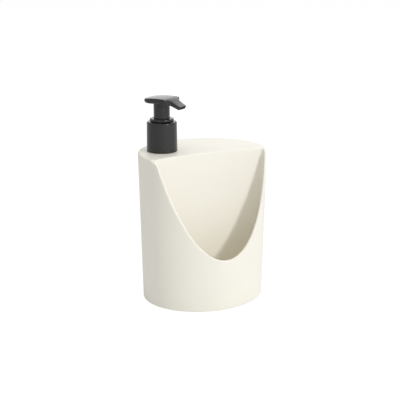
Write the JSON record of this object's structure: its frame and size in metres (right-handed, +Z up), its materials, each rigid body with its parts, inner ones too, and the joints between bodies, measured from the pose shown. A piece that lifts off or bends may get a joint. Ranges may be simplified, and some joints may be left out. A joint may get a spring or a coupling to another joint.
{
  "type": "soap pump caddy",
  "caption": "Oval caddy with an open sponge pocket in front, a closed soap reservoir behind and a hand pump with a beak spout screwed on the deck's neck",
  "frame": {"origin": "middle of the foot, on the surface that the caddy stands on", "axes": "+Z up; -Y towards the user, the way the sponge pocket opens; +X to the user's right, the pump stands at -X"},
  "size_m": [0.114, 0.0982, 0.177],
  "materials": {
    "body_white": "warm white, fine matt",
    "pump_dark": "charcoal, satin",
    "pump_natural": "natural, slightly milky",
    "gasket_soft": "soft, pale",
    "steel": "bright drawn"
  },
  "bodies": {
    "caddy": {"caddy_body": "body_white", "deck_lid": "body_white"},
    "gasket": {"neck_gasket": "gasket_soft"},
    "pump_core": {"pump_housing": "pump_natural", "guide_ring": "pump_dark", "ball_retainer": "pump_natural", "dip_tube": "pump_natural", "return_spring": "steel"},
    "collar": {"screw_collar": "pump_dark"},
    "plunger": {"piston": "gasket_soft"},
    "head": {"pump_head": "pump_dark", "stem": "pump_natural", "valve_pin": "pump_natural"},
    "ball": {"inlet_ball": "steel"}
  },
  "joints": [
    {"name": "pump_lift_out", "type": "slide", "parent": "caddy", "child": "gasket", "axis": [0, 0, 1], "range_m": [0, 0.15]},
    {"name": "pump_rise", "type": "slide", "parent": "gasket", "child": "pump_core", "axis": [0, 0, 1], "range_m": [0, 0.0073]},
    {"name": "collar_turn", "type": "hinge", "parent": "pump_core", "child": "collar", "pos_m": [-0.032, 0.0144, 0.142], "axis": [0, 0, 1], "range_deg": [0, 810]},
    {"name": "head_press", "type": "slide", "parent": "pump_core", "child": "plunger", "axis": [0, 0, -1], "range_m": [0, 0.0125], "stiffness_N_per_m": 250, "springref_m": -0.02, "deforming": ["return_spring"]},
    {"name": "head_swivel", "type": "hinge", "parent": "plunger", "child": "head", "pos_m": [-0.032, 0.0144, 0.16], "axis": [0, 0, 1], "continuous": true},
    {"name": "inlet_ball_lift", "type": "slide", "parent": "pump_core", "child": "ball", "axis": [0, 0, 1], "range_m": [0, 0.0015]}
  ],
  "couplings": [
    {"joint": "pump_rise", "follows": "collar_turn", "m_per_rad": 0.0005093}
  ]
}
